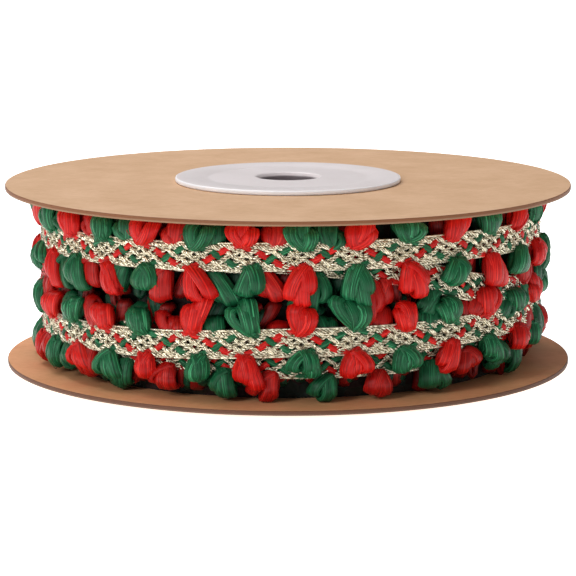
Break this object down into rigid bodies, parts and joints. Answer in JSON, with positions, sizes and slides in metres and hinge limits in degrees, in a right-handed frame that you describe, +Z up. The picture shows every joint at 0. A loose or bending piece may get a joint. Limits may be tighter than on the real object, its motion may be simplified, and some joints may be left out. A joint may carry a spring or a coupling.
{
  "type": "pom pom trim wound on a card spool",
  "caption": "Narrow knitted braid with floss tufts on both edges, wound in two rows on a flanged card spool with a plastic hub.",
  "frame": {"origin": "centre of the spool's footprint, on the surface that it stands on", "axes": "+Z up along the spool's axis, -Y towards the front in the picture"},
  "size_m": [0.1, 0.1, 0.0336],
  "materials": {
    "kraft_card": "matte uncoated kraft paperboard",
    "hub_plastic": "frosted natural polypropylene",
    "gold_braid": "knitted metallic yarn",
    "tuft_floss": "soft untwisted floss, red and green by turns"
  },
  "bodies": {
    "root": {"flange_top": "kraft_card", "flange_bottom": "kraft_card", "hub_top": "hub_plastic", "hub_bottom": "hub_plastic", "wound_trim": "gold_braid", "tufts_upper_edge": "tuft_floss", "tufts_lower_edge": "tuft_floss", "tufts_inner_turn": "tuft_floss"}
  },
  "joints": []
}
